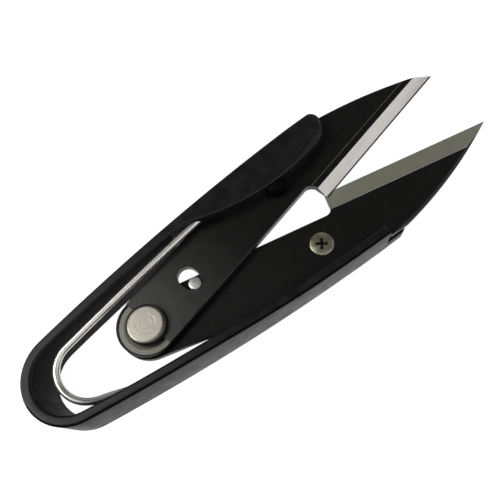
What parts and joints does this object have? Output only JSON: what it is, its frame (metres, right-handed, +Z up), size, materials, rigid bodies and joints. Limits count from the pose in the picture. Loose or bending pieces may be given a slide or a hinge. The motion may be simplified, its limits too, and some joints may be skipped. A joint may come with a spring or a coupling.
{
  "type": "thread snips",
  "caption": "One-handed spring snips: two pointed blades on one rivet, opened by a looped nylon handle and a wire spring, with a stop pin in a slot that limits the travel.",
  "frame": {"origin": "centre of the bounding box's bottom; the rivet's axis is at x = -32.42 mm, y = 0", "axes": "+X along the snips from the bend to the tips, +Y towards the upper arm, +Z up through the rivet, square to the blades"},
  "size_m": [0.1204, 0.0348, 0.0125],
  "materials": {
    "nylon": "satin moulded black nylon with a fine grain",
    "blackened_steel": "black satin coating on carbon steel, ground bright along the edges",
    "rivet_steel": "turned steel, satin",
    "pin_steel": "bright turned steel",
    "spring_wire": "polished drawn wire",
    "screw_steel": "nickel-plated steel, satin"
  },
  "bodies": {
    "handle": {"handle_loop": "nylon", "pivot_rivet": "rivet_steel", "wire_spring": "spring_wire"},
    "upper_jaw": {"upper_grip": "nylon", "upper_blade": "blackened_steel", "upper_screw": "screw_steel"},
    "lower_jaw": {"lower_grip": "nylon", "lower_blade": "blackened_steel", "lower_screw": "screw_steel", "stop_pin": "pin_steel"}
  },
  "joints": [
    {"name": "upper_jaw_swing", "type": "hinge", "parent": "handle", "child": "upper_jaw", "pos_m": [-0.03242, 0, 0.00625], "axis": [0, 0, 1], "range_deg": [-6.25, 0], "stiffness_Nm_per_rad": 0.5, "deforming": ["wire_spring", "handle_loop"]},
    {"name": "lower_jaw_swing", "type": "hinge", "parent": "handle", "child": "lower_jaw", "pos_m": [-0.03242, 0, 0.00625], "axis": [0, 0, 1], "range_deg": [0, 6.25], "stiffness_Nm_per_rad": 0.5}
  ],
  "couplings": [
    {"joint": "lower_jaw_swing", "follows": "upper_jaw_swing", "ratio": -1}
  ]
}
